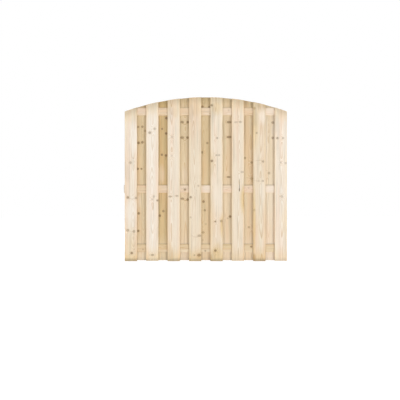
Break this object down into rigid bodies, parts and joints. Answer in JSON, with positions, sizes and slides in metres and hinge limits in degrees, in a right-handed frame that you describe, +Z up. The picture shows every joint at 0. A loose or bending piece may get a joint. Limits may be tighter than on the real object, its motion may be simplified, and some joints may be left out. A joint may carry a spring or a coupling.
{
  "type": "wooden fence panel",
  "caption": "Arched wooden fence panel: upright planks screwed to both faces of horizontal rails, the back planks standing behind the gaps of the front ones.",
  "frame": {"origin": "on the ground line, at the middle of the panel's length and of its thickness", "axes": "+X along the panel to the right as seen from the front, +Y from the front to the back, +Z up"},
  "size_m": [1.789, 0.045, 1.7999],
  "materials": {
    "front_wood": "matte",
    "back_wood": "matte",
    "rail_wood": "matte",
    "screw_steel": "satin"
  },
  "bodies": {
    "root": {"front_plank_1": "front_wood", "front_plank_2": "front_wood", "front_plank_3": "front_wood", "front_plank_4": "front_wood", "front_plank_5": "front_wood", "front_plank_6": "front_wood", "front_plank_7": "front_wood", "front_plank_8": "front_wood", "back_plank_1": "back_wood", "back_plank_2": "back_wood", "back_plank_3": "back_wood", "back_plank_4": "back_wood", "back_plank_5": "back_wood", "back_plank_6": "back_wood", "back_plank_7": "back_wood", "bottom_rail": "rail_wood", "middle_rail": "rail_wood", "top_rail": "rail_wood", "bottom_rail_front_plank_screws": "screw_steel", "bottom_rail_back_plank_screws": "screw_steel", "middle_rail_front_plank_screws": "screw_steel", "middle_rail_back_plank_screws": "screw_steel", "top_rail_front_plank_screws": "screw_steel", "top_rail_back_plank_screws": "screw_steel"}
  },
  "joints": []
}
